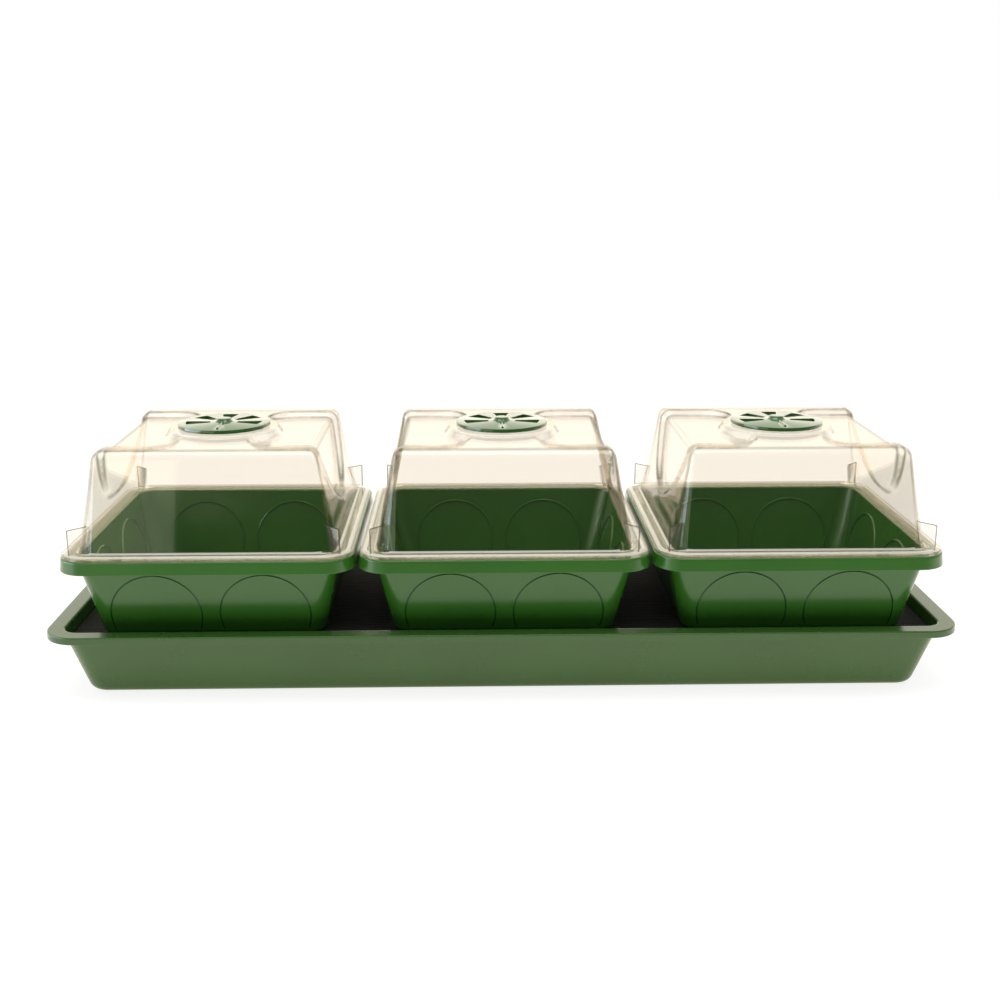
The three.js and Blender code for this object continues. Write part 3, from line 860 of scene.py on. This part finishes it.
FIN_START = 0.3  # where a fin counts as clear of the wall
FLAT_TURN, TIGHT_TURN = 45, 155  # turn of the normal per metre where the painted bend shade starts to show, and shows fully
LEAST_EDGE = 2e-4  # shortest length, in metres, that a turn is measured over
FLANGE_BEND, BOSS_BEND, FIN_BEND = 0.12, 0.25, 0.1  # how much of the painted bend shade shows there
AROUND_BOSS = 12  # how far past the boss its own share holds
FIN_FOOT = 1.2  # height above the flange where a fin stands clear of it
FACE_ON = 0.9  # a fin's faces turned less than this to the side are its edges
RIM_PAINTED_SHADE = 0.5  # how much painted shade the flange's outer edge gets
STRIPES = ((RIDGE_AT, 1.8), (FLANGE_WIDTH, 1.2))  # painted pale reflection lines on the flange: the middle and half the width
FLANGE_PAINTED_REFLECTION = 0.2  # painted pale reflection between the lines


def mark_bends(made):
    """Stores how sharply the clear wall turns at each point, from 0 on flat walls to 1 on tight bends, which
    sets the painted dark shade there.
    """
    mesh = made.data
    normals, places = vectors(mesh.vertices, "normal"), vectors(mesh.vertices, "co")
    edges = np.zeros(len(mesh.edges) * 2, np.int32)
    mesh.edges.foreach_get("vertices", edges)
    a, b = edges.reshape(-1, 2).T
    length = np.maximum(np.linalg.norm(places[a] - places[b], axis=1), LEAST_EDGE)
    turn = np.linalg.norm(normals[a] - normals[b], axis=1) / length
    bend = np.zeros(len(mesh.vertices))
    np.maximum.at(bend, a, turn)
    np.maximum.at(bend, b, turn)
    value = np.clip((bend - FLAT_TURN) / (TIGHT_TURN - FLAT_TURN), 0, 1)
    places = places / MM
    on_flange = places[:, 2] < dome_low[2] + FLANGE + 1.5
    value[on_flange] *= FLANGE_BEND
    value[np.hypot(places[:, 0], places[:, 1]) < BOSS_RADIUS + AROUND_BOSS] *= BOSS_BEND
    value[(past_corner(places) > FIN_START) & ~on_flange] *= FIN_BEND
    store(mesh, "bend", "POINT", value)


def mark_faces(made):
    """Stores which faces get painted dark edge shade, and how much painted pale reflection each one gets."""
    mesh = made.data
    normals, centres = face_data(mesh)
    half = (dome_high - dome_low)[:2] / 2
    height = centres[:, 2] - dome_low[2] - FLANGE
    on_fin = (past_corner(centres) > FIN_START) & (height > FIN_FOOT)
    signs = np.sign(centres)
    sideways = np.abs(signs[:, 0] * normals[:, 0] - signs[:, 1] * normals[:, 1]) * math.sqrt(0.5)
    at_edge = (np.abs(centres[:, :2]) > half - 1).any(1)
    on_rim = (np.abs(normals[:, 2]) < 0.5) & (height < 0) & at_edge
    rim = np.where(on_rim, RIM_PAINTED_SHADE, 0.0)
    store(mesh, "edge", "FACE", np.where(on_fin & (sideways < FACE_ON), 1.0, rim))
    past = np.abs(centres[:, :2]) - half + FLANGE_RADIUS
    inward = FLANGE_RADIUS - np.hypot(*np.maximum(past, 0).T) - np.minimum(past.max(1), 0)
    stripe = np.any([np.abs(inward - middle) < half_width for middle, half_width in STRIPES], axis=0)
    on_top = (height < FIN_FOOT) & (inward < FLANGE_WIDTH + 2) & (normals[:, 2] > 0.2)
    flange = np.where(stripe, 1.0, FLANGE_PAINTED_REFLECTION) * on_top
    store(mesh, "painted_pale_reflection", "FACE", np.where(on_fin, FIN_PAINTED_REFLECTION, flange))


def dome():
    made = to_object("clear_shell", shell(dome_mesh(), wrap=True))
    combine(made, merged(fin_parts()), "UNION")
    combine(made, merged(wedge_parts(dome_high[2] - BOSS_PLATE - 1, dome_high[2] + 1)), "DIFFERENCE")
    mark_bends(made)
    mark_faces(made)
    finish_mesh(made, 40)
    copies(made, "dome", "dome_clear", "dome", CLEAR)


# ---- vent ----
def vent():
    """A turned disc on a collared stem, with wedge openings, a hub and a pointer rib."""
    high = vent_high[2]
    low = dome_high[2] + GAP
    face = low + VENT_THICK
    under = dome_high[2] - BOSS_PLATE - GAP
    radius = (vent_high[0] - vent_low[0]) / 2
    foot = [(COLLAR - 1.4, vent_low[2]), (COLLAR - 0.9, vent_low[2] + 0.2), (COLLAR, under)]
    rim = [
        (STEM, under), (STEM, low), (radius - 0.5, low), (radius, low + 0.5),
        (radius, face - 0.7), (radius - 0.2, face - 0.2), (radius - 0.7, face),
    ]
    hub = [
        (HUB_RADIUS + 0.8, face), (HUB_RADIUS, face + 0.2), (HUB_RADIUS - 1, face + 0.8),
        (HUB_TIP + 1.2, high - 0.3), (HUB_TIP, high), (HUB_TIP - 2, high),
    ]
    made = to_object("vent_disc", shell(turned(foot + rim + hub, 128)))
    combine(made, merged(wedge_parts(low - 1, face + 1)), "DIFFERENCE")
    half_rib = (OPENING_OUT - HUB_TIP) / 2
    rib = rings(
        [
            (RIB_HALF_WIDTH, half_rib, 0.7, face - 0.5),
            (RIB_HALF_WIDTH, half_rib, 0.7, face + 0.1),
            (0.3, half_rib - 0.6, 0.15, face + RIB_RISE - 0.1),
            (0.1, half_rib - 0.8, 0.05, face + RIB_RISE),
        ],
        5,
    )
    combine(made, moved(shell(rib), (0, -HUB_TIP - half_rib, 0)), "UNION")
    finish_mesh(made, 35)
    copies(made, "vent", "vent_green", "vent", VENT_GREEN)


water_tray()
platform()
felt_mat()
seed_tray()
dome()
vent()


# ---- stage and light, in metres ----
def show_by_ray(nodes, links, output, other, camera_view):
    """Lets the camera see one shader, and every other ray the other."""
    ray = nodes.new("ShaderNodeLightPath")
    pick = nodes.new("ShaderNodeMixShader")
    links.new(ray.outputs["Is Camera Ray"], pick.inputs["Fac"])
    links.new(other, pick.inputs[1])
    links.new(camera_view, pick.inputs[2])
    links.new(pick.outputs["Shader"], nodes.new(output).inputs["Surface"])


def direction(nodes, links, space):
    """The X, Y and Z of one kind of texture coordinate."""
    place = nodes.new("ShaderNodeTexCoord")
    split = nodes.new("ShaderNodeSeparateXYZ")
    links.new(place.outputs[space], split.inputs[0])
    return split.outputs


def floor_material():
    """Plain white to the camera. The light it gives the object fades towards the viewer."""
    made, nodes, links = new_material("paper")
    seen, lit = nodes.new("ShaderNodeBsdfPrincipled"), nodes.new("ShaderNodeBsdfPrincipled")
    for surface, grey, glow in ((seen, 0.25, (1.0, 1.0, 1.0)), (lit, 0.86, (1.0, 0.87, 0.79))):
        surface.inputs["Base Color"].default_value = (grey, grey, grey, 1)
        surface.inputs["Roughness"].default_value = 0.9
        surface.inputs["Emission Color"].default_value = (*glow, 1)
    seen.inputs["Emission Strength"].default_value = 0.83
    depth = direction(nodes, links, "Object")["Y"]
    links.new(ramp(nodes, links, depth, 0.0, 0.75, -0.85, -0.45), lit.inputs["Emission Strength"])
    near = ramp(nodes, links, depth, 0.0, 1.0, -1.0, -0.5)
    links.new(ramp(nodes, links, near, (0.2, 0.2, 0.2), (0.86, 0.86, 0.86)), lit.inputs["Base Color"])
    show_by_ray(nodes, links, "ShaderNodeOutputMaterial", lit.outputs["BSDF"], seen.outputs["BSDF"])
    return made


def paper_floor():
    """A wide sheet just under the object."""
    half, below = 12.0, 0.0004
    corners = [(-half, -half, 0), (half, -half, 0), (half, half, 0), (-half, half, 0)]
    mesh = bpy.data.meshes.new("floor")
    mesh.from_pydata(corners, [], [(0, 1, 2, 3)])
    made = bpy.data.objects.new("floor", mesh)
    made.location.z = -below
    bpy.context.scene.collection.objects.link(made)
    mesh.materials.append(floor_material())


def room():
    """White to the camera. For light and reflections it is dark in front, bright behind and softer above."""
    world = bpy.data.worlds.new("studio")
    bpy.context.scene.world = world
    world.use_nodes = True
    nodes, links = world.node_tree.nodes, world.node_tree.links
    nodes.clear()
    towards = direction(nodes, links, "Generated")
    depth = ramp(nodes, links, towards["Y"], (0.16, 0.15, 0.14), (1.8, 1.66, 1.46), 0.0, 0.5)
    overhead = ramp(nodes, links, towards["Z"], 0.0, 1.0, 0.35, 0.8)
    blend = nodes.new("ShaderNodeMix")
    blend.data_type = "RGBA"
    links.new(overhead, blend.inputs["Factor"])
    links.new(depth, blend.inputs["A"])
    blend.inputs["B"].default_value = (0.9, 0.88, 0.85, 1)
    glow, plain = nodes.new("ShaderNodeBackground"), nodes.new("ShaderNodeBackground")
    links.new(blend.outputs["Result"], glow.inputs["Color"])
    plain.inputs["Color"].default_value = (1, 1, 1, 1)
    behind, shown = glow.outputs["Background"], plain.outputs["Background"]
    show_by_ray(nodes, links, "ShaderNodeOutputWorld", behind, shown)


def lamp(name, spot, target, width, height, power, colour, diffuse=True):
    """A soft rectangular light that the camera doesn't see."""
    data = bpy.data.lights.new(name, "AREA")
    data.shape = "RECTANGLE"
    data.size, data.size_y = width, height
    data.energy = power
    data.color = colour
    made = bpy.data.objects.new(name, data)
    made.location = spot
    made.rotation_euler = (Vector(target) - Vector(spot)).to_track_quat("-Z", "Y").to_euler()
    made.visible_camera = False
    made.visible_diffuse = diffuse
    bpy.context.scene.collection.objects.link(made)


paper_floor()
room()
lamp("overhead", (-0.2, -0.35, 2.3), (0, 0, 0.1), 2.0, 1.2, 26, (1.0, 0.98, 0.95))
lamp("window", (-1.5, -0.35, 0.45), (-0.1, -0.1, 0.15), 1.3, 1.0, 22, (0.78, 0.89, 1.0), False)
lamp("left_screen", (-0.965, -1.15, 0.35), (-0.965, 0, 0.35), 0.9, 0.6, 2.2, (0.86, 1.0, 0.74), False)
